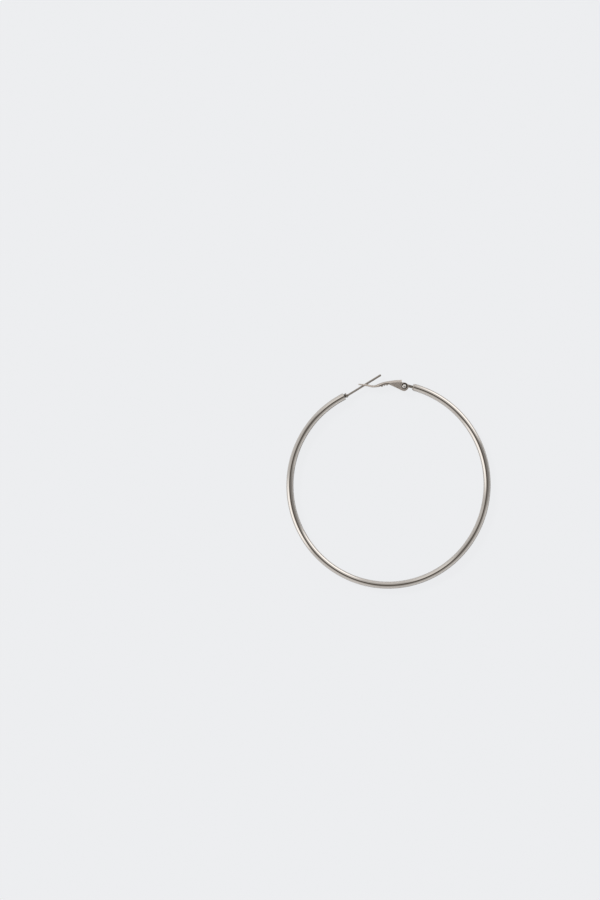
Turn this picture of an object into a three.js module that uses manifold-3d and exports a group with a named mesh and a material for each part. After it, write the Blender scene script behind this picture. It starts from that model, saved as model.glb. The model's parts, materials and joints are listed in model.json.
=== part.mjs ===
// Large tube hoop earring with a straight ear post and a hinged latch lever that snaps over it.
// The hoop lies flat on its side. Millimetres, +Z up, the clasp at +Y, the origin under its middle.
import * as THREE from 'three';
import { mergeVertices } from 'three/addons/utils/BufferGeometryUtils.js';
import Module from 'manifold-3d';

const wasm = await Module();
wasm.setup();

// Hoop: a slightly oval ring of round tube, open at the clasp
const LONG_AXIS = 68.15; // tube centre line, across the long way
const SHORT_AXIS = 67.1; // tube centre line, across the short way
const LONG_AXIS_TURN = 82.7; // degrees from +X to the long axis
const END_STEP = 0.72; // the hinge end stands this much further out than the post end
const TUBE_DIAMETER = 2.4;
const TUBE_WALL = 0.3;
const CLASP_GAP = 23.7; // straight across, from tube end to tube end

// End fittings: a plug inside the tube, and outside it a collar or a cap
const PLUG_LENGTH = 2.0;
const PLUG_CLEARANCE = 0.06; // between plug and bore
const SEAT_GAP = 0.05; // between tube end and cap

// Ear post fitting
const POST_DIAMETER = 0.7;
const POST_LENGTH = 13.5; // from collar face to free end
const POST_TILT = 4.9; // degrees outward of the tube's direction at its end
const POST_SET_IN = 0.25; // post root, inward of the tube's centre line
const POST_TIP_ROUND = 0.15;
const COLLAR_DIAMETER = 1.7;
const COLLAR_LENGTH = 0.45;
const COLLAR_ROUND = 0.15;
const WAIST_DIAMETER = 1.2; // between tube end and collar
const WAIST_LENGTH = 0.45;
const BEAD_LENGTH = 0.55; // solder bead at the post's root
const BEAD_DIAMETER = 0.9;

// Hinge tab fitting
const TAB_REACH = 3.3; // from tube end to hinge pin
const TAB_TILT = 10.5; // degrees inward of the tube's direction at its end
const TAB_THICKNESS = 1.1;
const TAB_EYE_DIAMETER = 2.1;
const TAB_NECK_WIDTH = 0.95; // at the cap
const TAB_NECK_TOP = 62; // degrees round the eye, outward, where the neck leaves it
const TAB_NECK_FOOT = 10; // the same, inward
const TAB_CAP_DIAMETER = 2.0;
const TAB_CAP_LENGTH = 0.35;
const TAB_CAP_ROUND = 0.2;

// Hinge pin, riveted over on both sides
const PIN_DIAMETER = 0.8;
const PIN_CLEARANCE = 0.07; // around the pin, in tab and lever
const SIDE_GAP = 0.05; // between tab, lever ear and pin head
const HEAD_DIAMETER = 1.3;
const HEAD_THICKNESS = 0.2;
const HEAD_ROUND = 0.12;

// Latch lever, stamped from one sheet
const SHEET = 0.35;
const EAR_DIAMETER = 2.9;
const EAR_DROP = 0.13; // ear's middle, inward of the hinge pin
const WEB_SET_BACK = 0.87; // from hinge pin to the cut end of the arched web
const CROWN_RISE = 2.23; // top of the web above the line from hinge pin to post
const SKIRT_DEPTH = 3.23; // side walls at the hinge end, below the sheet
const TONGUE_WIDTH = 1.6;
const SHOULDER_ROUND = 0.98; // share of the section's half width or depth, whichever is less
const INNER_ROUND = 0.6; // the same inside the fold, as a share of the room there
const POST_CATCH = 6.9; // along the post, from collar face to the lever's fork
const TIP_OVERHANG = 2.0; // lever beyond the post
const FORK_CLEARANCE = 0.07;
const GRIP_TOOTH_COUNT = 3;
const GRIP_TOOTH_DIAMETER = 0.7;
const GRIP_TOOTH_PITCH = 0.87;
const GRIP_TOOTH_START = 5.8; // hinge pin to the first tooth
const GRIP_TOOTH_PROUD = 0.4; // below the foot of the side wall

// Lever sections from the hinge end (along 0) to the tip (along 1): crown is a share of CROWN_RISE,
// skirt a share of SKIRT_DEPTH, spread goes from the tongue's width (0) to the hinge end's width (1)
const LEVER_SECTIONS = [
  { along: 0.0, crown: 1.0, skirt: 1.0, spread: 1.0 },
  { along: 0.125, crown: 0.915, skirt: 0.69, spread: 0.99 },
  { along: 0.22, crown: 0.835, skirt: 0.445, spread: 0.95 },
  { along: 0.265, crown: 0.785, skirt: 0.325, spread: 0.88 },
  { along: 0.31, crown: 0.73, skirt: 0.235, spread: 0.78 },
  { along: 0.355, crown: 0.66, skirt: 0.2, spread: 0.67 },
  { along: 0.405, crown: 0.575, skirt: 0.19, spread: 0.55 },
  { along: 0.45, crown: 0.49, skirt: 0.225, spread: 0.43 },
  { along: 0.5, crown: 0.375, skirt: 0.25, spread: 0.3 },
  { along: 0.55, crown: 0.22, skirt: 0.205, spread: 0.15 },
  { along: 0.595, crown: 0.075, skirt: 0.14, spread: 0.05 },
  { along: 0.64, crown: 0.01, skirt: 0.105, spread: 0.0 },
  { along: 0.69, crown: 0.005, skirt: 0.105, spread: 0.0 },
  { along: 0.735, crown: 0.05, skirt: 0.095, spread: 0.0 },
  { along: 0.79, crown: 0.14, skirt: 0.1, spread: 0.0 },
  { along: 0.84, crown: 0.2, skirt: 0.13, spread: 0.0 },
  { along: 0.91, crown: 0.175, skirt: 0.05, spread: 0.0 },
  { along: 1.0, crown: 0.19, skirt: 0.03, spread: 0.0 },
];

// Facets
const TUBE_STEPS = 92;
const TUBE_SIDES = 18;
const BORE_SIDES = 12;
const PLUG_STEPS = 3;
const LATHE_SIDES = 16;
const LEVER_STEPS = 34;
const CORNER_STEPS = 5;

const steel = { color: 0xb9b5af, roughness: 0.16, metalness: 1 };
const dullSteel = { color: 0x9a948c, roughness: 0.3, metalness: 1 };

// Worked out from the sizes above
const TUBE_RADIUS = TUBE_DIAMETER / 2;
const BORE_RADIUS = TUBE_RADIUS - TUBE_WALL;
const PLUG_RADIUS = BORE_RADIUS - PLUG_CLEARANCE;
const POST_RADIUS = POST_DIAMETER / 2;
const PIN_BORE_RADIUS = PIN_DIAMETER / 2 + PIN_CLEARANCE;
const EAR_RADIUS = EAR_DIAMETER / 2;
const EAR_INNER = TAB_THICKNESS / 2 + SIDE_GAP;
const EAR_OUTER = EAR_INNER + SHEET;
const GAP_HALF_ANGLE = Math.asin((2 * CLASP_GAP) / (LONG_AXIS + SHORT_AXIS));
const POST_END_ANGLE = Math.PI / 2 + GAP_HALF_ANGLE;
const HINGE_END_ANGLE = (5 * Math.PI) / 2 - GAP_HALF_ANGLE;
const MEAN_RADIUS = (LONG_AXIS + SHORT_AXIS) / 4;
const radians = THREE.MathUtils.degToRad;
const UP = new THREE.Vector3(0, 0, 1);

// The tube's centre line between two angles about the hoop's middle, from the post end all the way
// round to the hinge end: an oval whose radius also grows evenly from the one end to the other
class HoopLine extends THREE.Curve {
  constructor(startAngle, endAngle) {
    super();
    this.startAngle = startAngle;
    this.endAngle = endAngle;
  }

  getPoint(share, target = new THREE.Vector3()) {
    const angle = THREE.MathUtils.lerp(this.startAngle, this.endAngle, share);
    const oval = ((LONG_AXIS - SHORT_AXIS) / 4) * Math.cos(2 * (angle - radians(LONG_AXIS_TURN)));
    const wayRound = (angle - (3 * Math.PI) / 2) / (Math.PI - GAP_HALF_ANGLE);
    const radius = MEAN_RADIUS + oval + (END_STEP / 2) * wayRound;
    return target.set(radius * Math.cos(angle), radius * Math.sin(angle), 0);
  }
}

// Where the tube ends: the middle of its end face and the way it points into the gap
function tubeEnd(angle, way) {
  const nudge = 1e-4;
  const line = new HoopLine(angle, angle + way * nudge);
  const place = line.getPoint(0);
  const outward = line.getPoint(1).sub(place).normalize();
  return { place, outward };
}

function turned(direction, degrees) {
  return direction.clone().applyAxisAngle(UP, radians(degrees));
}

const postEnd = tubeEnd(POST_END_ANGLE, -1);
const hingeEnd = tubeEnd(HINGE_END_ANGLE, 1);

const postAxis = turned(postEnd.outward, POST_TILT);
const postRoot = postEnd.place.clone()
  .addScaledVector(postEnd.outward, SEAT_GAP + WAIST_LENGTH + COLLAR_LENGTH)
  .addScaledVector(turned(postEnd.outward, -90), POST_SET_IN);
const postCatch = postRoot.clone().addScaledVector(postAxis, POST_CATCH);

const hingePin = hingeEnd.place.clone().addScaledVector(turned(hingeEnd.outward, TAB_TILT), TAB_REACH);
const leverReach = postCatch.distanceTo(hingePin);
const leverAxis = postCatch.clone().sub(hingePin).normalize();
const leverLength = leverReach + TIP_OVERHANG;

// The lever's own frame: X from hinge pin to post, Y outward from the hoop, Z along the pin, downward
const leverFrame = new THREE.Matrix4()
  .makeBasis(leverAxis, turned(leverAxis, -90), UP.clone().negate())
  .setPosition(hingePin);

// Solids and meshes
function solid(geometry) {
  const bare = geometry.index ? geometry.toNonIndexed() : geometry.clone();
  bare.deleteAttribute('normal');
  bare.deleteAttribute('uv');
  const merged = mergeVertices(bare, 1e-5);
  const vertProperties = new Float32Array(merged.attributes.position.array);
  const triVerts = new Uint32Array(merged.index.array);
  return new wasm.Manifold(new wasm.Mesh({ numProp: 3, vertProperties, triVerts }));
}

function mesh(name, body, look) {
  const data = body.getMesh();
  const geometry = new THREE.BufferGeometry();
  geometry.setAttribute('position', new THREE.BufferAttribute(data.vertProperties, data.numProp));
  geometry.setIndex(new THREE.BufferAttribute(data.triVerts, 1));
  geometry.computeVertexNormals();
  const made = new THREE.Mesh(geometry, new THREE.MeshStandardMaterial(look));
  made.name = name;
  return made;
}

function circle(radius, sides) {
  const points = [];
  for (let i = 0; i < sides; i += 1) {
    const angle = (i / sides) * 2 * Math.PI;
    points.push(new THREE.Vector2(radius * Math.cos(angle), radius * Math.sin(angle)));
  }
  return points;
}

function swept(shape, startAngle, endAngle, steps) {
  const path = new HoopLine(startAngle, endAngle);
  return new THREE.ExtrudeGeometry(shape, { steps, extrudePath: path, bevelEnabled: false });
}

// A turned shape: profile rows of [radius, height], stood on place along a direction
function lathed(profile, place, direction) {
  const points = profile.map(([radius, height]) => new THREE.Vector2(radius, height));
  const geometry = new THREE.LatheGeometry(points, LATHE_SIDES);
  const yAxis = new THREE.Vector3(0, 1, 0);
  geometry.applyQuaternion(new THREE.Quaternion().setFromUnitVectors(yAxis, direction));
  geometry.translate(place.x, place.y, place.z);
  return solid(geometry);
}

// The corner of a turned profile, rounded from the rim up to the face at height
function roundedRim(radius, height, round) {
  const rows = [];
  const steps = 3;
  for (let i = 0; i <= steps; i += 1) {
    const angle = (i / steps) * (Math.PI / 2);
    rows.push([radius - round + round * Math.cos(angle), height - round + round * Math.sin(angle)]);
  }
  return rows;
}

// A bar of round section across the hinge, along Z, centred on the hoop's middle plane
function crossBar(radius, length, x, y, sides) {
  const geometry = new THREE.CylinderGeometry(radius, radius, length, sides);
  geometry.rotateX(Math.PI / 2);
  geometry.translate(x, y, 0);
  return geometry;
}

function plate(shape, fromZ, toZ) {
  const geometry = new THREE.ExtrudeGeometry(shape, {
    depth: toZ - fromZ,
    bevelEnabled: false,
    curveSegments: LATHE_SIDES,
  });
  geometry.translate(0, 0, fromZ);
  return geometry;
}

// Hollow tube, open at both ends
function hoopTube() {
  const section = new THREE.Shape(circle(TUBE_RADIUS, TUBE_SIDES));
  section.holes.push(new THREE.Path(circle(BORE_RADIUS, BORE_SIDES)));
  return solid(swept(section, POST_END_ANGLE, HINGE_END_ANGLE, TUBE_STEPS));
}

// Plug that follows the tube's bend and comes out far enough to meet its collar or cap
function plug(angle, way) {
  const inside = angle - (way * PLUG_LENGTH) / MEAN_RADIUS;
  const outside = angle + (way * 2 * SEAT_GAP) / MEAN_RADIUS;
  const ends = [inside, outside].sort((a, b) => a - b);
  return solid(swept(new THREE.Shape(circle(PLUG_RADIUS, BORE_SIDES)), ends[0], ends[1], PLUG_STEPS));
}

// Waist, collar, solder bead and post, soldered to the plug as one piece
function earPost() {
  const seat = postEnd.place.clone().addScaledVector(postEnd.outward, SEAT_GAP);
  const waist = WAIST_DIAMETER / 2;
  const rim = COLLAR_DIAMETER / 2;
  const face = WAIST_LENGTH + COLLAR_LENGTH;
  const collar = lathed([
    [0, 0],
    [waist, 0],
    [waist, WAIST_LENGTH],
    [rim, WAIST_LENGTH],
    ...roundedRim(rim, face, COLLAR_ROUND),
    [0, face],
  ], seat, postEnd.outward);
  const sunk = COLLAR_LENGTH / 2;
  const bead = BEAD_DIAMETER / 2;
  const post = lathed([
    [0, -sunk],
    [bead, -sunk],
    [bead, BEAD_LENGTH / 3],
    [(bead + POST_RADIUS) / 2, BEAD_LENGTH * 0.8],
    [POST_RADIUS, BEAD_LENGTH],
    ...roundedRim(POST_RADIUS, POST_LENGTH, POST_TIP_ROUND),
    [0, POST_LENGTH],
  ], postRoot, postAxis);
  return plug(POST_END_ANGLE, -1).add(collar).add(post);
}

// Tab with its eye, cap and plug, soldered as one piece
function hingeTab() {
  const seat = hingeEnd.place.clone().addScaledVector(hingeEnd.outward, SEAT_GAP);
  const rim = TAB_CAP_DIAMETER / 2;
  const cap = lathed([
    [0, 0],
    [rim, 0],
    ...roundedRim(rim, TAB_CAP_LENGTH, TAB_CAP_ROUND),
    [0, TAB_CAP_LENGTH],
  ], seat, hingeEnd.outward);
  const toTube = hingeEnd.place.clone().sub(hingePin);
  const neckLength = TAB_REACH - SEAT_GAP - TAB_CAP_LENGTH / 2;
  const neckHalf = TAB_NECK_WIDTH / 2;
  const eyeRadius = TAB_EYE_DIAMETER / 2;
  const outline = new THREE.Shape();
  outline.moveTo(neckLength, -neckHalf);
  outline.lineTo(neckLength, neckHalf);
  outline.absarc(0, 0, eyeRadius, radians(TAB_NECK_TOP), radians(360 - TAB_NECK_FOOT), false);
  outline.holes.push(new THREE.Path(circle(PIN_BORE_RADIUS, LATHE_SIDES)));
  const tab = plate(outline, -TAB_THICKNESS / 2, TAB_THICKNESS / 2);
  tab.rotateZ(Math.atan2(toTube.y, toTube.x));
  tab.translate(hingePin.x, hingePin.y, 0);
  return plug(HINGE_END_ANGLE, 1).add(cap).add(solid(tab));
}

// Pin with a flat-topped, round-edged head on each side of the lever's ears
function hingeRivet() {
  const inner = EAR_OUTER + SIDE_GAP;
  const outer = inner + HEAD_THICKNESS;
  const upper = [
    [PIN_DIAMETER / 2, inner],
    [HEAD_DIAMETER / 2, inner],
    ...roundedRim(HEAD_DIAMETER / 2, outer, HEAD_ROUND),
    [0, outer],
  ];
  const lower = upper.map(([radius, height]) => [radius, -height]).reverse();
  return lathed([...lower, ...upper], hingePin, UP);
}

// Lever section sizes anywhere along it, by smooth interpolation of its table
const sectionAlong = new THREE.CubicInterpolant(
  LEVER_SECTIONS.map((row) => row.along),
  LEVER_SECTIONS.flatMap((row) => [row.crown, row.skirt, row.spread]),
  3,
);

function leverSection(x) {
  const along = (x - WEB_SET_BACK) / (leverLength - WEB_SET_BACK);
  const [crown, skirt, spread] = sectionAlong.evaluate(along);
  const top = crown * CROWN_RISE;
  const foot = top - SHEET - skirt * SKIRT_DEPTH;
  const half = THREE.MathUtils.lerp(TONGUE_WIDTH / 2, EAR_OUTER, spread);
  return { x, top, foot, half };
}

// One side of an arch from its foot to the middle, a straight leg and a round shoulder
function archHalf(half, top, foot, round) {
  const points = [[half, foot]];
  for (let i = 0; i <= CORNER_STEPS; i += 1) {
    const angle = (i / CORNER_STEPS) * (Math.PI / 2);
    points.push([half - round + round * Math.cos(angle), top - round + round * Math.sin(angle)]);
  }
  return points;
}

// A channel section as one closed loop: over the outside of the sheet and back along its inside
function channelLoop({ x, top, foot, half }) {
  const depth = top - foot;
  const outerRound = Math.min(half, depth) * SHOULDER_ROUND;
  const innerRound = Math.min(outerRound, depth - SHEET) * INNER_ROUND;
  const outer = archHalf(half, top, foot, outerRound);
  const inner = archHalf(half - SHEET, top - SHEET, foot, innerRound);
  const mirror = (points) => points.map(([z, y]) => [-z, y]).reverse();
  const loop = [...outer, ...mirror(outer), ...mirror(inner).reverse(), ...[...inner].reverse()];
  return loop.map(([z, y]) => new THREE.Vector3(x, y, z));
}

// Skin over a row of equal loops, closed by a face at each end
function lofted(loops) {
  const count = loops[0].length;
  const points = loops.flat();
  const index = [];
  for (let i = 0; i < loops.length - 1; i += 1) {
    for (let j = 0; j < count; j += 1) {
      const a = i * count + j;
      const b = i * count + ((j + 1) % count);
      index.push(a, b + count, b, a, a + count, b + count);
    }
  }
  const face = loops[0].map(({ y, z }) => new THREE.Vector2(z, y));
  const last = (loops.length - 1) * count;
  for (const [a, b, c] of THREE.ShapeUtils.triangulateShape(face, [])) {
    index.push(a, b, c, last + a, last + c, last + b);
  }
  const geometry = new THREE.BufferGeometry().setFromPoints(points);
  geometry.setIndex(index);
  return geometry;
}

// One ear: a disc round the pin, and a gusset from it to the web that carries on the skirt's foot line
function ear(nearZ) {
  const cut = leverSection(WEB_SET_BACK);
  const root = leverSection(WEB_SET_BACK + SHEET);
  const footLine = new THREE.Vector2(root.x - cut.x, root.foot - cut.foot).normalize();
  const brow = EAR_RADIUS - EAR_DROP;
  const disc = new THREE.Shape();
  disc.absarc(0, -EAR_DROP, EAR_RADIUS, 0, 2 * Math.PI, false);
  const gusset = new THREE.Shape([
    new THREE.Vector2(root.x, root.foot),
    new THREE.Vector2(root.x, brow),
    new THREE.Vector2(0, brow),
    new THREE.Vector2(EAR_RADIUS * footLine.y, -EAR_DROP - EAR_RADIUS * footLine.x),
  ]);
  const farZ = nearZ + SHEET;
  return solid(plate(disc, nearZ, farZ)).add(solid(plate(gusset, nearZ, farZ)));
}

// One grip tooth: a round lobe of the side wall's edge
function gripTooth(at, nearZ) {
  const radius = GRIP_TOOTH_DIAMETER / 2;
  const lobe = new THREE.Shape();
  lobe.absarc(at.x, at.foot - GRIP_TOOTH_PROUD + radius, radius, 0, 2 * Math.PI, false);
  return solid(plate(lobe, nearZ, nearZ + SHEET));
}

// Room for the post in the lever's fork, open towards the tip
function forkSlot() {
  const toLever = leverFrame.clone().invert();
  const axis = postAxis.clone().transformDirection(toLever);
  const slotRadius = POST_RADIUS + FORK_CLEARANCE;
  const slotLength = 4 * (SHEET + CROWN_RISE);
  const mouth = 2 * TIP_OVERHANG + slotLength;
  const round = crossBar(slotRadius, slotLength, 0, 0, LATHE_SIDES);
  const open = new THREE.BoxGeometry(mouth, 2 * slotRadius, slotLength);
  open.translate(mouth / 2, 0, 0);
  const place = new THREE.Matrix4()
    .makeBasis(new THREE.Vector3(-axis.y, axis.x, 0).negate(), UP.clone().negate(), axis)
    .setPosition(new THREE.Vector3(leverReach, 0, 0));
  return solid(round.applyMatrix4(place)).add(solid(open.applyMatrix4(place)));
}

// One stamped sheet: an arched web with two ears at the hinge, running down in a bend to a forked
// tongue whose two prongs stand on either side of the post
function latchLever() {
  const loops = [];
  for (let i = 0; i <= LEVER_STEPS; i += 1) {
    const x = THREE.MathUtils.lerp(WEB_SET_BACK, leverLength, i / LEVER_STEPS);
    loops.push(channelLoop(leverSection(x)));
  }
  let body = solid(lofted(loops)).add(ear(EAR_INNER)).add(ear(-EAR_OUTER));
  for (let i = 0; i < GRIP_TOOTH_COUNT; i += 1) {
    const at = leverSection(GRIP_TOOTH_START + i * GRIP_TOOTH_PITCH);
    body = body.add(gripTooth(at, at.half - SHEET)).add(gripTooth(at, -at.half));
  }
  const bore = crossBar(PIN_BORE_RADIUS, 4 * EAR_OUTER, 0, 0, LATHE_SIDES);
  return body.subtract(solid(bore)).subtract(forkSlot()).transform(leverFrame.toArray());
}

const earring = new THREE.Group();
earring.add(
  mesh('hoop_tube', hoopTube(), steel),
  mesh('ear_post', earPost(), steel),
  mesh('hinge_tab', hingeTab(), dullSteel),
  mesh('hinge_rivet', hingeRivet(), steel),
  mesh('latch_lever', latchLever(), steel),
);

// The hoop rests on Z = 0, with the origin under the middle of its box
const box = new THREE.Box3().setFromObject(earring);
const middle = box.getCenter(new THREE.Vector3());
earring.position.set(-middle.x, -middle.y, -box.min.z);

export default earring;
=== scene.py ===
"""Large tube hoop earring in polished steel, lying flat on a pale studio table.

All sizes are in millimetres in the hoop's own frame (its middle at the origin, the clasp at +Y, the
tube's middle plane at Z = 0) until a finished mesh is carried, in metres, to its place in the frame.
"""

import json
import logging
import math
from collections.abc import Callable
from dataclasses import dataclass
from enum import Enum
from functools import partial
from typing import ClassVar

import bmesh
import bpy
import numpy as np
from mathutils import Matrix, Vector


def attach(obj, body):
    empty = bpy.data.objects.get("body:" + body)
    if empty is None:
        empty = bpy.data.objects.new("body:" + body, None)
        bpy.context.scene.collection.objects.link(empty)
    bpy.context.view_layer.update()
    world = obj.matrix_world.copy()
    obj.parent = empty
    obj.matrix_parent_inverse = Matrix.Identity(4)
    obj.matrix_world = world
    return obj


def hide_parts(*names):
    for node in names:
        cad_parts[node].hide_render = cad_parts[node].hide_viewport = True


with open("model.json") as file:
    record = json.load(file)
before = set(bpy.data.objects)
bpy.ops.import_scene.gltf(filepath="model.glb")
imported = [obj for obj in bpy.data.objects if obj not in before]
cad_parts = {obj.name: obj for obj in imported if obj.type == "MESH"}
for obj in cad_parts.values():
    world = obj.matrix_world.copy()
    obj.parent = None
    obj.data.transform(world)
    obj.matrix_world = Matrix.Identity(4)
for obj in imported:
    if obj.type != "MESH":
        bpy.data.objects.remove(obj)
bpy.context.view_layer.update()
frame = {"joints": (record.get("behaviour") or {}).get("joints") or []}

MM = 0.001
MERGE_MM = 1e-6
UP = np.array([0.0, 0.0, 1.0])
# Mesh attribute marking painted shade: a darker colour standing in for shadow in gaps and creases.
PAINTED_SHADE = "residue"
LOG = logging.getLogger("hoop_earring")


class Ends(Enum):
    """How the first and last row of a grid are closed."""

    JOINED = "joined to each other"
    STRIPS = "closed by a strip between the row's first and second half"
    FACES = "closed by one flat face each"
    POLES = "closed already, since each is one point repeated"


@dataclass
class Shell:
    """One closed surface: its points, its faces, and a UV pair for each face corner."""

    points: np.ndarray
    faces: list[list[int]]
    uvs: np.ndarray


def unit(vector: np.ndarray) -> np.ndarray:
    """The vector, or each row of vectors, divided by its length."""
    return vector / np.linalg.norm(vector, axis=-1, keepdims=True)


def turned(vector: np.ndarray, degrees: float) -> np.ndarray:
    """A vector turned about +Z.

    Args:
        vector: the vector.
        degrees: its turn, counter-clockwise seen from above.

    Returns:
        The turned vector.
    """
    cos, sin = math.cos(math.radians(degrees)), math.sin(math.radians(degrees))
    x, y, z = vector
    return np.array([x * cos - y * sin, x * sin + y * cos, z])


def place(origin: np.ndarray, x: np.ndarray, y: np.ndarray, z: np.ndarray) -> np.ndarray:
    """The 4 by 4 matrix that carries a shape's axes to x, y and z, and its origin to origin."""
    return np.vstack([np.stack([x, y, z, origin], axis=1), [0.0, 0.0, 0.0, 1.0]])


def upright(origin: np.ndarray, axis: np.ndarray) -> np.ndarray:
    """The matrix that stands a shape with its Z along axis, which is level or points to +Z."""
    side = UP if abs(axis[2]) < 0.5 else np.array([1.0, 0.0, 0.0])
    return place(origin, side, np.cross(axis, side), axis)


def grid_shell(grid: np.ndarray, ends: Ends, spans: tuple[float, float] = (1.0, 1.0)) -> Shell:
    """A closed surface over a grid of points whose columns go once round.

    Args:
        grid: points by row and column, shape (rows, columns, 3).
        ends: how the first and last row are closed.
        spans: what the UVs rise to along the rows, and once round the columns.

    Returns:
        The shell.
    """
    rows, columns = grid.shape[:2]
    steps = rows if ends is Ends.JOINED else rows - 1
    i, j = (number.ravel() for number in np.indices((steps, columns)))
    below, above, right = i * columns, (i + 1) % rows * columns, (j + 1) % columns
    quads = np.stack([below + j, below + right, above + right, above + j], axis=1)
    u = np.stack([i, i, i + 1, i + 1], axis=1) / steps * spans[0]
    v = np.stack([j, j + 1, j + 1, j], axis=1) / columns * spans[1]
    uvs = np.stack([u.ravel(), v.ravel()], axis=1)
    caps: list[list[int]] = []
    if ends is Ends.FACES:
        caps = np.arange(rows * columns).reshape(rows, columns)[[0, -1]].tolist()
    if ends is Ends.STRIPS:
        near = np.arange(columns // 2 - 1)
        far = columns - 1 - near
        strip = np.stack([near, far, far - 1, near + 1], axis=1)
        caps = np.concatenate([strip, strip + (rows - 1) * columns]).tolist()
    corners = sum(len(cap) for cap in caps)
    uvs = np.concatenate([uvs, np.zeros((corners, 2))])
    return Shell(grid.reshape(-1, 3), quads.tolist() + caps, uvs)


def moved(shell: Shell, matrix: np.ndarray) -> Shell:
    """The shell carried by a 4 by 4 matrix."""
    points = shell.points @ matrix[:3, :3].T + matrix[:3, 3]
    return Shell(points, shell.faces, shell.uvs)


def arc(
    centre: tuple[float, float], radius: float, start: float, stop: float, steps: int
) -> np.ndarray:
    """Points on a circle about centre, from start to stop in degrees: (steps + 1, 2)."""
    angle = np.radians(np.linspace(start, stop, steps + 1))
    return np.stack([centre[0] + radius * np.cos(angle), centre[1] + radius * np.sin(angle)], axis=1)


def lathe(profile: np.ndarray, sides: int) -> Shell:
    """A solid of revolution: point (r cos t, r sin t, h) for each profile row (r, h) and turn t.

    Args:
        profile: rows of radius and height, the first and last on the axis.
        sides: points once round.

    Returns:
        The closed shell, about Z.
    """
    turn = np.linspace(0, 2 * np.pi, sides, endpoint=False)
    radius, height = profile[:, :1], np.repeat(profile[:, 1:], sides, axis=1)
    grid = np.stack([radius * np.cos(turn), radius * np.sin(turn), height], axis=2)
    return grid_shell(grid, Ends.POLES)


def prism(outline: np.ndarray, low: float, high: float) -> Shell:
    """A flat outline in XY carried straight from Z = low to Z = high."""
    levels = [np.c_[outline, np.full(len(outline), z)] for z in (low, high)]
    return grid_shell(np.stack(levels), Ends.FACES)


def rod(radius: float, length: float, sides: int) -> Shell:
    """A plain round rod along Z, centred on its middle."""
    half = length / 2
    return lathe(np.array([[0, -half], [radius, -half], [radius, half], [0, half]]), sides)


def layered_prism(outline: np.ndarray, half: float, rounding: float, steps: int = 5) -> Shell:
    """A flat plate with rounded edges, centred on Z = 0.

    At a height within the rounding of a face, each outline point is drawn in along its own inward
    normal by rounding times (1 minus the cosine of the edge's turn).

    Args:
        outline: the plate's outline, counter-clockwise.
        half: half its thickness.
        rounding: radius of its edges.
        steps: rows over each rounded edge.

    Returns:
        The closed shell.
    """
    chord = unit(np.roll(outline, -1, axis=0) - np.roll(outline, 1, axis=0))
    inward = np.stack([-chord[:, 1], chord[:, 0]], axis=1)
    turn = np.linspace(np.pi / 2, 0, steps + 1)
    draw = rounding * (1 - np.cos(turn))
    height = half - rounding + rounding * np.sin(turn)
    draw = np.concatenate([draw, draw[::-1]])
    height = np.concatenate([-height, height[::-1]])
    flat = outline[None] + inward[None] * draw[:, None, None]
    level = np.broadcast_to(height[:, None, None], flat.shape[:2] + (1,))
    return grid_shell(np.concatenate([flat, level], axis=2), Ends.FACES)


def rounded_rim(radius: float, height: float, rounding: float, steps: int = 8) -> np.ndarray:
    """Rows of radius and height round the top edge of a turned shape, from its side to its top."""
    return arc((radius - rounding, height - rounding), rounding, 0, 90, steps)


def eased(value: np.ndarray, start: float, stop: float) -> np.ndarray:
    """The smooth step 3 t^2 - 2 t^3, where t goes from 0 at start to 1 at stop."""
    t = np.clip((value - start) / (stop - start), 0, 1)
    return 3 * t**2 - 2 * t**3


def smooth_table(x: np.ndarray, knots: np.ndarray, values: np.ndarray) -> np.ndarray:
    """Values of a table between its rows, on cubic pieces that join with equal slopes.

    Each knot's slope is the mean of the slopes to its two neighbours, and a piece is
    h00 y0 + h10 m0 + h01 y1 + h11 m1, the Hermite cubic of its ends and their slopes.

    Args:
        x: where the values are wanted.
        knots: the rows' places, rising.
        values: the rows' values.

    Returns:
        The values at x.
    """
    slope = np.gradient(values, knots)
    k = np.clip(np.searchsorted(knots, x, side="right") - 1, 0, len(knots) - 2)
    width = knots[k + 1] - knots[k]
    t = (x - knots[k]) / width
    ends = (2 * t**3 - 3 * t**2 + 1) * values[k] + (3 * t**2 - 2 * t**3) * values[k + 1]
    return ends + width * ((t**3 - 2 * t**2 + t) * slope[k] + (t**3 - t**2) * slope[k + 1])


# Where things are: the hoop's line and the places on the clasp


@dataclass(frozen=True)
class HoopLine:
    """The tube's centre line: an oval whose radius grows evenly from post end to hinge end."""

    long_axis: float = 68.15
    short_axis: float = 67.1
    long_axis_turn: float = 82.7
    end_step: float = 0.72
    tube_diameter: float = 2.4
    tube_wall: float = 0.3
    clasp_gap: float = 23.7

    @property
    def half_gap(self) -> float:
        """Half the clasp's angle, seen from the hoop's middle, in radians."""
        return math.asin(2 * self.clasp_gap / (self.long_axis + self.short_axis))

    @property
    def post_angle(self) -> float:
        """Angle of the tube's end at the ear post."""
        return math.pi / 2 + self.half_gap

    @property
    def hinge_angle(self) -> float:
        """Angle of the tube's end at the hinge, once round."""
        return 5 * math.pi / 2 - self.half_gap

    def points(self, angle: np.ndarray) -> np.ndarray:
        """Points on the centre line.

        The radius is the mean of the half axes, plus half their difference times the cosine of twice
        the angle from the long axis, plus the end step's share of the way round.

        Args:
            angle: angles about the hoop's middle, in radians.

        Returns:
            One row of x, y, z for each angle.
        """
        mean = (self.long_axis + self.short_axis) / 4
        swing = (self.long_axis - self.short_axis) / 4
        way_round = (angle - 1.5 * np.pi) / (np.pi - self.half_gap)
        radius = mean + swing * np.cos(2 * (angle - math.radians(self.long_axis_turn)))
        radius = radius + self.end_step / 2 * way_round
        level = np.stack([np.cos(angle), np.sin(angle), np.zeros_like(angle)], axis=-1)
        return radius[..., None] * level

    def directions(self, angle: np.ndarray) -> np.ndarray:
        """Unit vectors along the line, counter-clockwise."""
        step = 1e-5
        return unit(self.points(angle + step) - self.points(angle - step))


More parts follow.
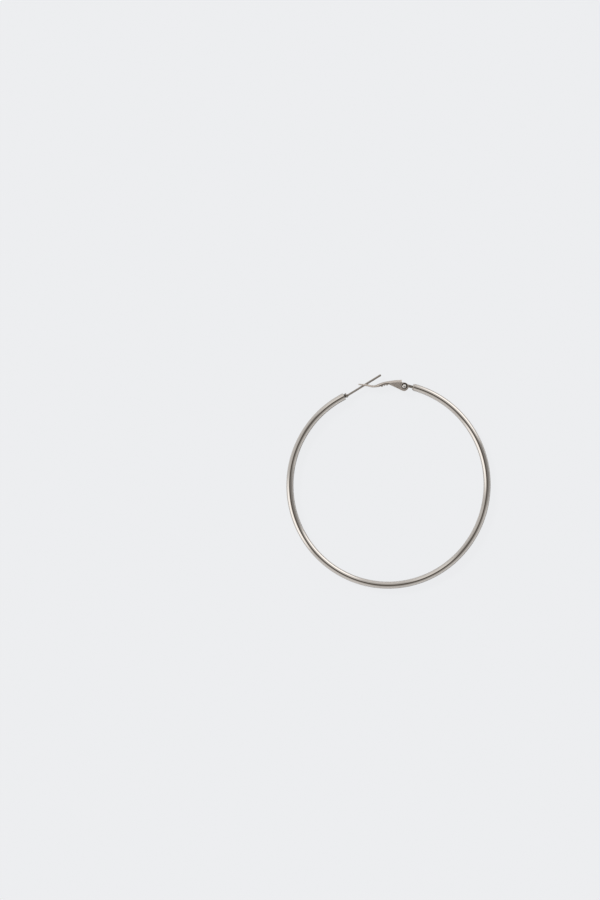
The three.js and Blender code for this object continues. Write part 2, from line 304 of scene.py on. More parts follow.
@dataclass(frozen=True)
class Clasp:
    """Sizes that the clasp's pieces share, and the places worked out from them."""

    line: HoopLine
    plug_length: float = 1.6
    plug_radius: float = 0.84
    seat_gap: float = 0.05
    waist_length: float = 0.45
    collar_length: float = 0.45
    post_diameter: float = 0.7
    post_set_in: float = 0.25
    post_tilt: float = 4.9
    post_catch: float = 6.9
    tab_reach: float = 3.3
    tab_tilt: float = 10.5
    tab_thickness: float = 1.1
    side_gap: float = 0.05
    pin_diameter: float = 0.8
    pin_clearance: float = 0.07
    sheet: float = 0.35
    tip_overhang: float = 2.0

    def end(self, angle: float, way: int) -> tuple[np.ndarray, np.ndarray]:
        """A tube end's middle, and the way it points into the clasp's gap."""
        at = np.array([angle])
        return self.line.points(at)[0], way * self.line.directions(at)[0]

    @property
    def post_end(self) -> tuple[np.ndarray, np.ndarray]:
        """Middle and direction of the tube's end at the ear post."""
        return self.end(self.line.post_angle, -1)

    @property
    def hinge_end(self) -> tuple[np.ndarray, np.ndarray]:
        """Middle and direction of the tube's end at the hinge."""
        return self.end(self.line.hinge_angle, 1)

    @property
    def post_axis(self) -> np.ndarray:
        """Direction of the ear post, from root to free end."""
        return turned(self.post_end[1], self.post_tilt)

    @property
    def collar_face(self) -> float:
        """How far the collar's face stands out from the fitting's seat."""
        return self.waist_length + self.collar_length

    @property
    def post_root(self) -> np.ndarray:
        """Where the post stands on its collar."""
        (middle, out), face = self.post_end, self.seat_gap + self.collar_face
        return middle + out * face + turned(out, -90) * self.post_set_in

    @property
    def hinge_pin(self) -> np.ndarray:
        """The hinge pin's middle."""
        middle, out = self.hinge_end
        return middle + turned(out, self.tab_tilt) * self.tab_reach

    @property
    def bore_radius(self) -> float:
        """Radius of the holes that the pin goes through."""
        return self.pin_diameter / 2 + self.pin_clearance

    @property
    def ear_inner(self) -> float:
        """Height of the ears' inner faces above the middle plane."""
        return self.tab_thickness / 2 + self.side_gap

    @property
    def ear_outer(self) -> float:
        """Height of the ears' outer faces above the middle plane."""
        return self.ear_inner + self.sheet

    @property
    def to_catch(self) -> np.ndarray:
        """From hinge pin to the middle of the post in the lever's fork."""
        return self.post_root + self.post_axis * self.post_catch - self.hinge_pin

    @property
    def lever_reach(self) -> float:
        """How far the lever's fork is from its hinge pin."""
        return float(np.linalg.norm(self.to_catch))

    @property
    def lever_place(self) -> np.ndarray:
        """The lever's frame: X from hinge pin to post, Y outward from the hoop, Z down."""
        along = unit(self.to_catch)
        return place(self.hinge_pin, along, turned(along, -90), -UP)


# Metal finishes


def linear(colour: str) -> tuple[float, float, float, float]:
    """An sRGB hex colour as linear red, green, blue and alpha."""
    channels = [int(colour[k : k + 2], 16) / 255 for k in (1, 3, 5)]
    light = [c / 12.92 if c <= 0.04045 else ((c + 0.055) / 1.055) ** 2.4 for c in channels]
    return (light[0], light[1], light[2], 1.0)


def add_node(
    tree: bpy.types.NodeTree, kind: str, settings: dict[str, object] | None = None, **sockets: object
) -> bpy.types.Node:
    """Adds a node to a tree.

    Args:
        tree: the node tree.
        kind: the node's type name, without its ShaderNode.
        settings: attributes of the node itself.
        **sockets: values, or output sockets to link, by input name with _ for a space, or by number
            as in_0, in_1.

    Returns:
        The new node.
    """
    node = tree.nodes.new(f"ShaderNode{kind}")
    for name, value in (settings or {}).items():
        setattr(node, name, value)
    for name, value in sockets.items():
        key = int(name[3:]) if name.startswith("in_") else name.replace("_", " ")
        if isinstance(value, bpy.types.NodeSocket):
            tree.links.new(value, node.inputs[key])
        else:
            node.inputs[key].default_value = value
    return node


def node_adder(owner: bpy.types.Material | bpy.types.World) -> Callable[..., bpy.types.Node]:
    """Gives a material or world an empty node tree.

    Args:
        owner: the material or world.

    Returns:
        add_node for that tree.
    """
    owner.use_nodes = True
    owner.node_tree.nodes.clear()
    return partial(add_node, owner.node_tree)


@dataclass(frozen=True)
class MetalFinish:
    """A steel surface: its colour, how sharp its reflections are, and the marks of its making.

    Lengths are in mm. Streaks are the lines that polishing leaves, by length and width; smears are
    soft patches of handling; waver is the slight unevenness that bends a reflection, by size and
    height. The roughness swings to either side over marks_range, the usual range of streaks plus
    smear_share of smears, and octaves say how finely the three break up. They lie on the named
    coordinates, whose unit is unit_mm long. Where a mesh marks painted shade, the metal takes a dark
    colour and a duller roughness there, painted in for the shadow in gaps, grooves and creases.
    """

    name: str
    colour: str
    shade: str
    roughness: float
    swing: float
    streak: tuple[float, float]
    smear: float
    waver: tuple[float, float]
    coordinates: str = "Object"
    unit_mm: float = 1000.0
    smear_share: float = 0.6
    marks_range: tuple[float, float] = (0.5, 1.1)
    octaves: tuple[float, float, float] = (3.0, 2.0, 1.0)
    # Painted shade: the dark colour and duller roughness standing in for shadow in gaps and creases.
    painted_shade_colour: str = "#534D47"
    painted_shade_roughness: float = 0.6

    def build(self) -> bpy.types.Material:
        """The finish as a node material.

        Returns:
            A material whose roughness and colour follow streaks and smears, over a faint waver.
        """
        material = bpy.data.materials.new(self.name)
        add = node_adder(material)
        where = add("TexCoord").outputs[self.coordinates]
        waver_size, waver_height = self.waver
        grains = ((*self.streak, self.streak[1]), (self.smear,) * 3, (waver_size,) * 3)
        patterns = []
        for sizes, detail in zip(grains, self.octaves):
            scale = tuple(self.unit_mm / size for size in sizes)
            spread = add("Mapping", Vector=where, Scale=scale).outputs["Vector"]
            pattern = add("TexNoise", Vector=spread, Scale=1.0, Detail=detail)
            patterns.append(pattern.outputs["Fac"])
        streaks, smears, waver = patterns
        marks = add(
            "Math", {"operation": "MULTIPLY_ADD"}, in_0=smears, in_1=self.smear_share, in_2=streaks
        )
        rough = add(
            "MapRange",
            Value=marks.outputs[0],
            From_Min=self.marks_range[0],
            From_Max=self.marks_range[1],
            To_Min=self.roughness - self.swing,
            To_Max=self.roughness + self.swing,
        ).outputs["Result"]
        colours = {"data_type": "RGBA"}
        tone = add("Mix", colours, in_0=smears, in_6=linear(self.colour), in_7=linear(self.shade))
        # Painted shade: where the mesh marks it, the colour darkens and the roughness dulls, for
        # shadow.
        residue = add("Attribute", {"attribute_name": PAINTED_SHADE}).outputs["Fac"]
        dulled = add(
            "Mix", {"data_type": "FLOAT"}, in_0=residue, in_2=rough, in_3=self.painted_shade_roughness
        )
        darkened = add(
            "Mix", colours, in_0=residue, in_6=tone.outputs[2], in_7=linear(self.painted_shade_colour)
        )
        relief = add("Bump", Height=waver, Distance=waver_height * MM, Strength=1.0)
        steel = add(
            "BsdfPrincipled",
            Base_Color=darkened.outputs[2],
            Metallic=1.0,
            Roughness=dulled.outputs[0],
            Normal=relief.outputs["Normal"],
        )
        add("OutputMaterial", Surface=steel.outputs["BSDF"])
        return material


# Stainless steel tube, bent and then mirror polished along its length: warm grey, with sharp
# reflections. Its polishing lines are finer than can show, so they are drawn 0.25 mm wide.
TUBE_POLISH = MetalFinish(
    name="mirror_polished_stainless_tube",
    colour="#CFC9C2",
    shade="#C6BFB8",
    roughness=0.055,
    swing=0.025,
    streak=(14.0, 0.25),
    smear=5.0,
    waver=(4.0, 0.0015),
    coordinates="UV",
    unit_mm=1.0,
)

# Stainless rivet, its head domed and buffed: bright, with a soft shine and round smears.
RIVET_POLISH = MetalFinish(
    name="buffed_stainless_rivet",
    colour="#E8E4DF",
    shade="#DCD7D2",
    roughness=0.27,
    swing=0.05,
    streak=(0.5, 0.15),
    smear=0.6,
    waver=(0.5, 0.003),
)

# Stainless wire, drawn and polished: darker than the tube, with its lines roughly along the post.
WIRE_POLISH = MetalFinish(
    name="polished_stainless_wire",
    colour="#A69E95",
    shade="#978F87",
    roughness=0.13,
    swing=0.04,
    streak=(6.0, 0.2),
    smear=2.5,
    waver=(1.5, 0.001),
)

# Stainless sheet, stamped, bent and tumbled smooth: a softer sheen with short marks every way.
TUMBLED_SHEET = MetalFinish(
    name="tumbled_stainless_sheet",
    colour="#D0C6BD",
    shade="#C2B9B0",
    roughness=0.42,
    swing=0.06,
    streak=(0.8, 0.3),
    smear=1.8,
    waver=(0.7, 0.002),
)

# Stainless fittings, soldered in: slightly greyed by the flame, with small matt and shiny patches.
SOLDERED_FITTING = MetalFinish(
    name="soldered_stainless_fitting",
    colour="#C6BFB7",
    shade="#B0A9A1",
    roughness=0.3,
    swing=0.07,
    streak=(0.5, 0.4),
    smear=0.9,
    waver=(0.5, 0.0015),
)


# From shells to pieces


def linked(name: str, data: bpy.types.ID) -> bpy.types.Object:
    """Makes an object and links it to the scene.

    Args:
        name: its name.
        data: the mesh, light or camera that it holds.

    Returns:
        The object.
    """
    made = bpy.data.objects.new(name, data)
    bpy.context.scene.collection.objects.link(made)
    return made


def raw_mesh(name: str, shell: Shell) -> bpy.types.Mesh:
    """A shell written into a mesh, its repeated points merged and its faces turned outward.

    Args:
        name: the mesh's name.
        shell: the shell.

    Returns:
        The mesh, in mm.
    """
    mesh = bpy.data.meshes.new(name)
    mesh.from_pydata(shell.points.tolist(), [], shell.faces)
    layer = mesh.uv_layers.new(name="surface_mm")
    layer.data.foreach_set("uv", shell.uvs.ravel().astype(np.float32))
    work = bmesh.new()
    work.from_mesh(mesh)
    bmesh.ops.remove_doubles(work, verts=work.verts, dist=MERGE_MM)
    bmesh.ops.recalc_face_normals(work, faces=work.faces)
    work.to_mesh(mesh)
    work.free()
    return mesh


def mark_painted_shade(
    mesh: bpy.types.Mesh, share_at: Callable[[np.ndarray], np.ndarray]
) -> bpy.types.Mesh:
    """Writes the share of painted shade, a dark colour for shadow, on each point of a mesh.

    Args:
        mesh: the mesh.
        share_at: gives the share of painted shade, 0 to 1, at each row of points.

    Returns:
        The same mesh.
    """
    points = np.empty(3 * len(mesh.vertices))
    mesh.vertices.foreach_get("co", points)
    share = share_at(points.reshape(-1, 3)).astype(np.float32)
    mesh.attributes.new(PAINTED_SHADE, "FLOAT", "POINT").data.foreach_set("value", share)
    return mesh


def carved(
    name: str, solids: list[Shell], cuts: list[Shell], voxel: float = 0.0, passes: int = 0
) -> bpy.types.Mesh:
    """Solids joined into one and cut.

    Args:
        name: the mesh's name.
        solids: closed shells that overlap.
        cuts: closed shells taken away from them.
        voxel: if not 0, the surface is made anew on a grid this fine, so that its edges soften.
        passes: how often the new surface is smoothed.

    Returns:
        The mesh, in mm.
    """
    made = [linked(f"{name}_work", raw_mesh(name, shell)) for shell in solids + cuts]
    for number, solid in enumerate(made[1:], start=1):
        step = made[0].modifiers.new(f"step_{number}", "BOOLEAN")
        step.operation = "UNION" if number < len(solids) else "DIFFERENCE"
        step.solver = "EXACT"
        step.object = solid
    if voxel:
        remesh = made[0].modifiers.new("remesh", "REMESH")
        remesh.mode = "VOXEL"
        remesh.voxel_size = voxel
        smooth = made[0].modifiers.new("smooth", "SMOOTH")
        smooth.iterations = passes
    view_layer = bpy.context.evaluated_depsgraph_get()
    mesh = bpy.data.meshes.new_from_object(made[0].evaluated_get(view_layer))
    mesh.name = name
    for solid in made:
        bpy.data.objects.remove(solid)
    return mesh


@dataclass
class Piece:
    """What the earring's pieces have in common: names, finish, and the way into the scene.

    Its shift, in metres, carries the hoop's origin to its place in the frame, and its crease is the
    least angle between faces, in degrees, that stays sharp.
    """

    clasp: Clasp
    shift: np.ndarray
    name: ClassVar[str]
    node: ClassVar[str]
    finish: ClassVar[MetalFinish]
    body: ClassVar[str] = "hoop"
    slot: ClassVar[str] = "polished_steel"
    crease: ClassVar[float] = 38.0

    def mesh(self) -> bpy.types.Mesh:
        """The piece's mesh in mm, in the hoop's own frame."""
        raise NotImplementedError

    def build(self) -> bpy.types.Object:
        """Makes the piece, dresses it and sets it in the frame.

        Returns:
            The object, which rides on its body and stands for its node.
        """
        mesh = self.mesh()
        mesh.transform(Matrix.Translation(Vector(self.shift)) @ Matrix.Scale(MM, 4))
        mesh.polygons.foreach_set("use_smooth", np.ones(len(mesh.polygons), dtype=bool))
        mesh.set_sharp_from_angle(angle=math.radians(self.crease))
        mesh.materials.clear()
        mesh.materials.append(self.finish.build())
        piece = linked(self.name, mesh)
        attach(piece, self.body)
        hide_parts(self.node)
        return piece


# The pieces


@dataclass
class HoopTube(Piece):
    """The hoop: polished tube bent into a ring, open at both ends."""

    name = "hoop_tube_polished"
    node = "hoop_tube"
    finish = TUBE_POLISH
    crease = 50.0
    steps: int = 420
    sides: int = 56
    lip_round: float = 0.07
    lip_steps: int = 4

    def lip(self) -> np.ndarray:
        """The rounded lip of the tube's wall, from the outside to the bore.

        Returns:
            Rows of set-back from the tube's end, and radius.
        """
        outer = self.clasp.line.tube_diameter / 2
        inner = outer - self.clasp.line.tube_wall
        edge, steps = self.lip_round, self.lip_steps
        top = arc((edge, outer - edge), edge, 90, 180, steps)
        bottom = arc((edge, inner + edge), edge, 180, 270, steps)
        return np.concatenate([top, bottom])

    def mesh(self) -> bpy.types.Mesh:
        """The tube's whole skin.

        A point is the centre line at an angle, plus radius times (cosine of the turn along the
        outward normal, plus its sine along +Z). The rows run along the outside, round one lip, back
        along the bore and round the other lip, and close on themselves.

        Returns:
            The mesh, in mm.
        """
        line = self.clasp.line
        mean = (line.long_axis + line.short_axis) / 4
        lip = self.lip()
        first = line.post_angle + lip[:, 0] / mean
        final = line.hinge_angle - lip[:, 0] / mean
        run = np.linspace(0, 1, self.steps + 1)[1:-1]
        outer_run = first[0] + (final[0] - first[0]) * run
        inner_run = final[-1] + (first[-1] - final[-1]) * run
        angle = np.concatenate([outer_run, final, inner_run, first[::-1]])
        outer, inner = (np.full(len(run), lip[k, 1]) for k in (0, -1))
        radius = np.concatenate([outer, lip[:, 1], inner, lip[::-1, 1]])
        out = np.cross(line.directions(angle), UP)
        turn = np.linspace(0, 2 * np.pi, self.sides, endpoint=False)[None, :, None]
        ring = np.cos(turn) * out[:, None, :] + np.sin(turn) * UP
        grid = line.points(angle)[:, None, :] + radius[:, None, None] * ring
        length = 2 * mean * (line.hinge_angle - line.post_angle)
        shell = grid_shell(grid, Ends.JOINED, (length, np.pi * line.tube_diameter))
        return raw_mesh(self.name, shell)


@dataclass
class EarPost(Piece):
    """The post end's fitting: a plug in the tube, a waist, a collar, a solder bead and the post.

    Painted shade, a dark colour standing in for the shadow in the waist's groove, fills the groove
    and fades out over groove_fade of the collar. A share of it, foot_share, stands in for the
    shadow round the bead's foot and fades out between foot_fade's heights.
    """

    name = "ear_post_polished"
    node = "ear_post"
    finish = WIRE_POLISH
    post_length: float = 13.5
    tip_round: float = 0.15
    waist_diameter: float = 1.2
    collar_diameter: float = 1.7
    collar_round: float = 0.15
    bead_length: float = 0.55
    bead_diameter: float = 0.9
    bead_steps: int = 10
    hollow_steps: int = 5
    rim_steps: int = 6
    edge_fade: float = 0.02
    groove_fade: float = 0.12
    foot_share: float = 0.6
    foot_fade: tuple[float, float] = (0.1, 0.35)
    sides: int = 64

    def collar_profile(self) -> np.ndarray:
        """The plug, the waist, hollow at its foot, and the collar.

        Returns:
            Rows of radius and height.
        """
        clasp, face, edge = self.clasp, self.clasp.collar_face, self.collar_round
        rim, waist, proud = self.collar_diameter / 2, self.waist_diameter / 2, clasp.seat_gap
        foot, low = clasp.plug_radius, -clasp.plug_length
        plug = [[0, low], [foot, low], [foot, proud], [waist, proud]]
        hollow = arc((waist + edge, clasp.waist_length - edge), edge, 180, 90, self.hollow_steps)
        back = arc((rim - edge, clasp.waist_length + edge), edge, -90, 0, self.rim_steps)
        return np.concatenate([plug, hollow, back, rounded_rim(rim, face, edge), [[0, face]]])

    def post_profile(self) -> np.ndarray:
        """The bead, hollow-sided like a solder fillet, and the post.

        The bead's radius is the wire's, plus its extra times (1 minus the height's share squared).

        Returns:
            Rows of radius and height.
        """
        wire, bead = self.clasp.post_diameter / 2, self.bead_diameter / 2
        rise = np.linspace(0, 1, self.bead_steps)
        fillet = np.stack([wire + (bead - wire) * (1 - rise**2), self.bead_length * rise], axis=1)
        tip = rounded_rim(wire, self.post_length, self.tip_round)
        sunk = self.clasp.collar_length / 2
        return np.concatenate([[[0, -sunk], [bead, -sunk]], fillet, tip, [[0, self.post_length]]])

    def residue(self, points: np.ndarray) -> np.ndarray:
        """The share of painted shade: all of the waist's groove, and a little at the bead's foot.

        Args:
            points: rows of x, y, z in mm.

        Returns:
            One share from 0 to 1 for each row.
        """
        clasp, fade = self.clasp, self.edge_fade
        middle, out = clasp.post_end
        height = (points - middle) @ out - clasp.seat_gap
        waist, over = clasp.waist_length, height - clasp.collar_face
        groove = eased(height, -fade, fade) * (1 - eased(height, waist, waist + self.groove_fade))
        foot = eased(over, -fade, fade) * (1 - eased(over, *self.foot_fade))
        return groove + self.foot_share * foot

    def mesh(self) -> bpy.types.Mesh:
        """The fitting, one solid of soldered metal.

        Returns:
            The mesh, in mm.
        """
        clasp = self.clasp
        middle, out = clasp.post_end
        seat = upright(middle + out * clasp.seat_gap, out)
        collar = moved(lathe(self.collar_profile(), self.sides), seat)
        root = upright(clasp.post_root, clasp.post_axis)
        post = moved(lathe(self.post_profile(), self.sides), root)
        # Painted shade in the waist's groove and round the bead's foot, standing in for their
        # shadow.
        return mark_painted_shade(carved(self.name, [collar, post], []), self.residue)


@dataclass
class HingeTab(Piece):
    """The hinge end's fitting: a plug in the tube, a thin cap, a neck and the eye round the pin."""

    name = "hinge_tab_soldered"
    node = "hinge_tab"
    finish = SOLDERED_FITTING
    cap_diameter: float = 2.0
    cap_length: float = 0.35
    cap_round: float = 0.2
    eye_diameter: float = 2.1
    neck_width: float = 0.95
    neck_top: float = 62.0
    neck_foot: float = 10.0
    edge_round: float = 0.1
    eye_steps: int = 72
    sides: int = 64

    def cap_profile(self) -> np.ndarray:
        """The plug and the cap.

        Returns:
            Rows of radius and height.
        """
        foot, low, top = self.clasp.plug_radius, -self.clasp.plug_length, self.cap_length
        side = self.cap_diameter / 2
        rim = rounded_rim(side, top, self.cap_round)
        return np.concatenate([[[0, low], [foot, low], [foot, 0], [side, 0]], rim, [[0, top]]])

    def outline(self) -> np.ndarray:
        """The tab seen from above, its X towards the tube: a neck that leaves the eye off centre.

        Returns:
            Rows of x and y, counter-clockwise.
        """
        length = self.clasp.tab_reach - self.clasp.seat_gap - self.cap_length / 2
        half = self.neck_width / 2
        eye = arc((0, 0), self.eye_diameter / 2, self.neck_top, 360 - self.neck_foot, self.eye_steps)
        return np.concatenate([[[length, -half], [length, half]], eye])

    def mesh(self) -> bpy.types.Mesh:
        """The fitting, with its edges rounded and its eye bored.

        Returns:
            The mesh, in mm.
        """
        clasp = self.clasp
        middle, out = clasp.hinge_end
        to_tube = unit(middle - clasp.hinge_pin)
        plate = layered_prism(self.outline(), clasp.tab_thickness / 2, self.edge_round)
        tab = moved(plate, place(clasp.hinge_pin, to_tube, turned(to_tube, 90), UP))
        seat = upright(middle + out * clasp.seat_gap, out)
        cap = moved(lathe(self.cap_profile(), self.sides), seat)
        bore = rod(clasp.bore_radius, 2 * clasp.tab_thickness, self.sides)
        return carved(self.name, [cap, tab], [moved(bore, upright(clasp.hinge_pin, UP))])


@dataclass
class HingeRivet(Piece):
    """The hinge pin: a buffed dome of a head over the upper ear, a flat one under the lower ear."""

    name = "hinge_rivet_buffed"
    node = "hinge_rivet"
    finish = RIVET_POLISH
    head_diameter: float = 1.3
    head_thickness: float = 0.2
    head_round: float = 0.12
    dome_rise: float = 0.15
    dome_round: float = 0.04
    dome_steps: int = 14
    sides: int = 72

    def dome(self, outer: float) -> np.ndarray:
        """The domed head, from its rim to its top.

        The height is the top's, less the dome's rise times the square of the radius over the rim's.

        Args:
            outer: the top's height.

        Returns:
            Rows of radius and height.
        """
        rim = rounded_rim(self.head_diameter / 2, outer - self.dome_rise, self.dome_round)
        radius = np.linspace(rim[-1, 0], 0, self.dome_steps)
        height = outer - self.dome_rise * (radius / rim[-1, 0]) ** 2
        return np.concatenate([rim[:-1], np.stack([radius, height], axis=1)])

    def mesh(self) -> bpy.types.Mesh:
        """The pin with both its heads.

        Returns:
            The mesh, in mm.
        """
        clasp, head = self.clasp, self.head_diameter / 2
        inner = clasp.ear_outer + clasp.side_gap
        outer = inner + self.head_thickness
        foot = [[clasp.pin_diameter / 2, inner], [head, inner]]
        upper = np.concatenate([foot, self.dome(outer)])
        lower = np.concatenate([foot, rounded_rim(head, outer, self.head_round), [[0, outer]]])
        lower = (lower * np.array([1, -1]))[::-1]
        pin = lathe(np.concatenate([lower, upper]), self.sides)
        return raw_mesh(self.name, moved(pin, upright(clasp.hinge_pin, UP)))


@dataclass
class LatchLever(Piece):
    """The latch lever: one stamped sheet, an arch with two ears at the hinge and a forked tongue.

    Each row of sections holds how far along it is from the hinge end to the tip, its crown as a
    share of crown_rise, its skirt as a share of skirt_depth, and its spread from the tongue's width
    to the hinge end's.

    Painted shade, a dark colour standing in for the shadow in the gap round the rivet's head and in
    the crease above the grip teeth, lies in a ring round the rivet's head, from ring_start outwards
    to ring_reach, which leans away from the tongue by ring_lean, and in a line at line_height above
    the side walls' edges, over the grip teeth. Each pair of numbers is where it starts to come or
    go, and where that is done.
    """

    name = "latch_lever_tumbled"
    node = "latch_lever"
    finish = TUMBLED_SHEET
    body = "latch"
    slot = "stamped_steel"
    crease = 80.0
    ear_diameter: float = 2.9
    ear_drop: float = 0.13
    web_set_back: float = 0.87
    crown_rise: float = 2.23
    skirt_depth: float = 3.23
    tongue_width: float = 1.6
    shoulder_round: float = 0.98
    inner_round: float = 0.6
    fork_clearance: float = 0.07
    tooth_count: int = 3
    tooth_diameter: float = 0.7
    tooth_pitch: float = 0.87
    tooth_start: float = 5.8
    tooth_proud: float = 0.4
    ring_start: tuple[float, float] = (0.55, 0.68)
    ring_reach: float = 0.98
    ring_lean: float = 0.14
    ring_lean_range: tuple[float, float] = (-0.5, 1.4)
    ring_fade: tuple[float, float] = (-0.08, 0.12)
    line_height: float = 0.27
    line_fade: tuple[float, float] = (0.1, 0.25)
    line_start: tuple[float, float] = (4.7, 5.3)
    line_stop: tuple[float, float] = (8.1, 8.8)
    line_share: float = 0.8
    steps: int = 150
    corner_steps: int = 12
    ear_steps: int = 72
    tooth_steps: int = 40
    slot_steps: int = 24
    bore_sides: int = 64
    voxel: float = 0.045
    smoothing: int = 8
    sections: tuple[tuple[float, float, float, float], ...] = (
        (0.0, 1.0, 1.0, 1.0),
        (0.125, 0.915, 0.69, 0.99),
        (0.22, 0.835, 0.445, 0.95),
        (0.265, 0.785, 0.325, 0.88),
        (0.31, 0.73, 0.235, 0.78),
        (0.355, 0.66, 0.2, 0.67),
        (0.405, 0.575, 0.19, 0.55),
        (0.45, 0.49, 0.225, 0.43),
        (0.5, 0.375, 0.25, 0.3),
        (0.55, 0.22, 0.205, 0.15),
        (0.595, 0.075, 0.14, 0.05),
        (0.64, 0.01, 0.105, 0.0),
        (0.69, 0.005, 0.105, 0.0),
        (0.735, 0.05, 0.095, 0.0),
        (0.79, 0.14, 0.1, 0.0),
        (0.84, 0.2, 0.13, 0.0),
        (0.91, 0.175, 0.05, 0.0),
        (1.0, 0.19, 0.03, 0.0),
    )

    @property
    def length(self) -> float:
        """From hinge pin to tip."""
        return self.clasp.lever_reach + self.clasp.tip_overhang

    def section(self, x: np.ndarray) -> tuple[np.ndarray, np.ndarray, np.ndarray]:
        """The lever's section sizes at distances from the pin.

        Args:
            x: distances from the hinge pin.

        Returns:
            The sheet's top, the side walls' foot and the half width, one of each for each distance.
        """
        table = np.array(self.sections)
        along = (x - self.web_set_back) / (self.length - self.web_set_back)
        crown, skirt, spread = (smooth_table(along, table[:, 0], table[:, k]) for k in (1, 2, 3))
        narrow = self.tongue_width / 2
        top = crown * self.crown_rise
        foot = top - self.clasp.sheet - skirt * self.skirt_depth
        return top, foot, narrow + (self.clasp.ear_outer - narrow) * spread

    def sheet_shell(self) -> Shell:
        """The bent sheet as one closed skin.

        A section is an arch: a straight leg from its foot up to a quarter circle of the shoulder's
        radius, mirrored about the middle. The loop goes over the outer arch and back along the inner
        one, a sheet's thickness within it, and is carried along the lever.

        Returns:
            The closed shell.
        """
        x = np.linspace(self.web_set_back, self.length, self.steps + 1)
        top, foot, half = self.section(x)
        sheet = self.clasp.sheet
        outer_round = np.minimum(half, top - foot) * self.shoulder_round
        inner_round = np.minimum(outer_round, top - foot - sheet) * self.inner_round
        turn = np.linspace(0, np.pi / 2, self.corner_steps + 1)
        arches = []
        for depth, rounding in ((0.0, outer_round), (sheet, inner_round)):
            wide, crown = half - depth, top - depth
            z = (wide - rounding)[:, None] + rounding[:, None] * np.cos(turn)
            y = (crown - rounding)[:, None] + rounding[:, None] * np.sin(turn)
            z = np.concatenate([wide[:, None], z], axis=1)
            y = np.concatenate([foot[:, None], y], axis=1)
            leg, mirrored = np.stack([y, z], axis=2), np.stack([y, -z], axis=2)[:, ::-1]
            arches.append(np.concatenate([leg, mirrored], axis=1))
        loop = np.concatenate([arches[0], arches[1][:, ::-1]], axis=1)
        along = np.broadcast_to(x[:, None, None], loop.shape[:2] + (1,))
        return grid_shell(np.concatenate([along, loop], axis=2), Ends.STRIPS)

    def ear(self, low: float) -> Shell:
        """One ear: round about the pin, and drawn out to the web on the line of the web's foot.

        Args:
            low: where the ear's lower face lies across the lever.

        Returns:
            The ear's shell.
        """
        x = self.web_set_back + np.array([0.0, self.clasp.sheet])
        _, foot, _ = self.section(x)
        foot_turn = math.degrees(math.atan2(foot[1] - foot[0], x[1] - x[0]))
        radius = self.ear_diameter / 2
        edge = arc((0, -self.ear_drop), radius, 90, 270 + foot_turn, self.ear_steps)
        outline = np.concatenate([[[x[1], foot[1]], [x[1], radius - self.ear_drop]], edge])
        return prism(outline, low, low + self.clasp.sheet)

    def teeth(self) -> list[Shell]:
        """The grip teeth: round lobes of both side walls' edges.

        Returns:
            Two shells for each tooth.
        """
        radius = self.tooth_diameter / 2
        x = self.tooth_start + self.tooth_pitch * np.arange(self.tooth_count)
        _, foot, half = self.section(x)
        rise = foot - self.tooth_proud + radius
        made = []
        for k in range(self.tooth_count):
            lobe = arc((x[k], rise[k]), radius, 0, 360, self.tooth_steps)[:-1]
            inner = half[k] - self.clasp.sheet
            made += [prism(lobe, inner, half[k]), prism(lobe, -half[k], -inner)]
        return made

    def residue(self, points: np.ndarray) -> np.ndarray:
        """The share of painted shade: a ring round the rivet's head, a line above the grip teeth.

        Args:
            points: rows of x, y, z in mm, in the lever's own frame.

        Returns:
            One share from 0 to 1 for each row.
        """
        x, y = points[:, 0], points[:, 1]
        away = np.hypot(x, y)
        lean = np.clip((y - x) / np.maximum(away, self.ring_start[0]), *self.ring_lean_range)
        over = away - self.ring_reach - self.ring_lean * lean
        ring = eased(away, *self.ring_start) * (1 - eased(over, *self.ring_fade))
        _, foot, _ = self.section(np.clip(x, self.web_set_back, self.length))
        line = 1 - eased(np.abs(y - foot - self.line_height), *self.line_fade)
        along = eased(x, *self.line_start) * (1 - eased(x, *self.line_stop))
        return np.maximum(ring, self.line_share * line * along)

    def fork_cut(self) -> Shell:
        """Room for the post: a round-bottomed slot along the post, open towards the tip.

        Returns:
            The shell to cut away.
        """
        clasp = self.clasp
        axis = np.linalg.inv(clasp.lever_place)[:3, :3] @ clasp.post_axis
        radius = clasp.post_diameter / 2 + self.fork_clearance
        mouth = self.length
        bottom = arc((0, 0), radius, 90, 270, self.slot_steps)
        outline = np.concatenate([[[mouth, -radius], [mouth, radius]], bottom])
        reach = 2 * self.crown_rise
        post = np.array([clasp.lever_reach, 0.0, 0.0])
        at = place(post, unit(np.cross(-UP, axis)), -UP, axis)
        return moved(prism(outline, -reach, reach), at)

    def mesh(self) -> bpy.types.Mesh:
        """Sheet, ears and teeth fused, bored and forked, with softened edges.

        Returns:
            The mesh, in mm.
        """
        clasp = self.clasp
        ears = [self.ear(-clasp.ear_outer), self.ear(clasp.ear_inner)]
        bore = rod(clasp.bore_radius, 4 * clasp.ear_outer, self.bore_sides)
        solids = [self.sheet_shell(), *ears, *self.teeth()]
        cuts = [bore, self.fork_cut()]
        mesh = carved(self.name, solids, cuts, self.voxel, self.smoothing)
        # Painted shade round the rivet's head and above the grip teeth, standing in for their
        # shadow.
        mark_painted_shade(mesh, self.residue).transform(Matrix(clasp.lever_place.tolist()))
        return mesh


# Table, light and camera


@dataclass(frozen=True)
class LightBox:
    """A soft light, or with negative levels a dark flag, on one side of the table.

    Its azimuth is in degrees counter-clockwise from the picture's right, and its reach is how far it
    goes to either side. Level is how bright it is low down, and high_level near the camera.
    """

    azimuth: float
    reach: float
    level: float
    high_level: float


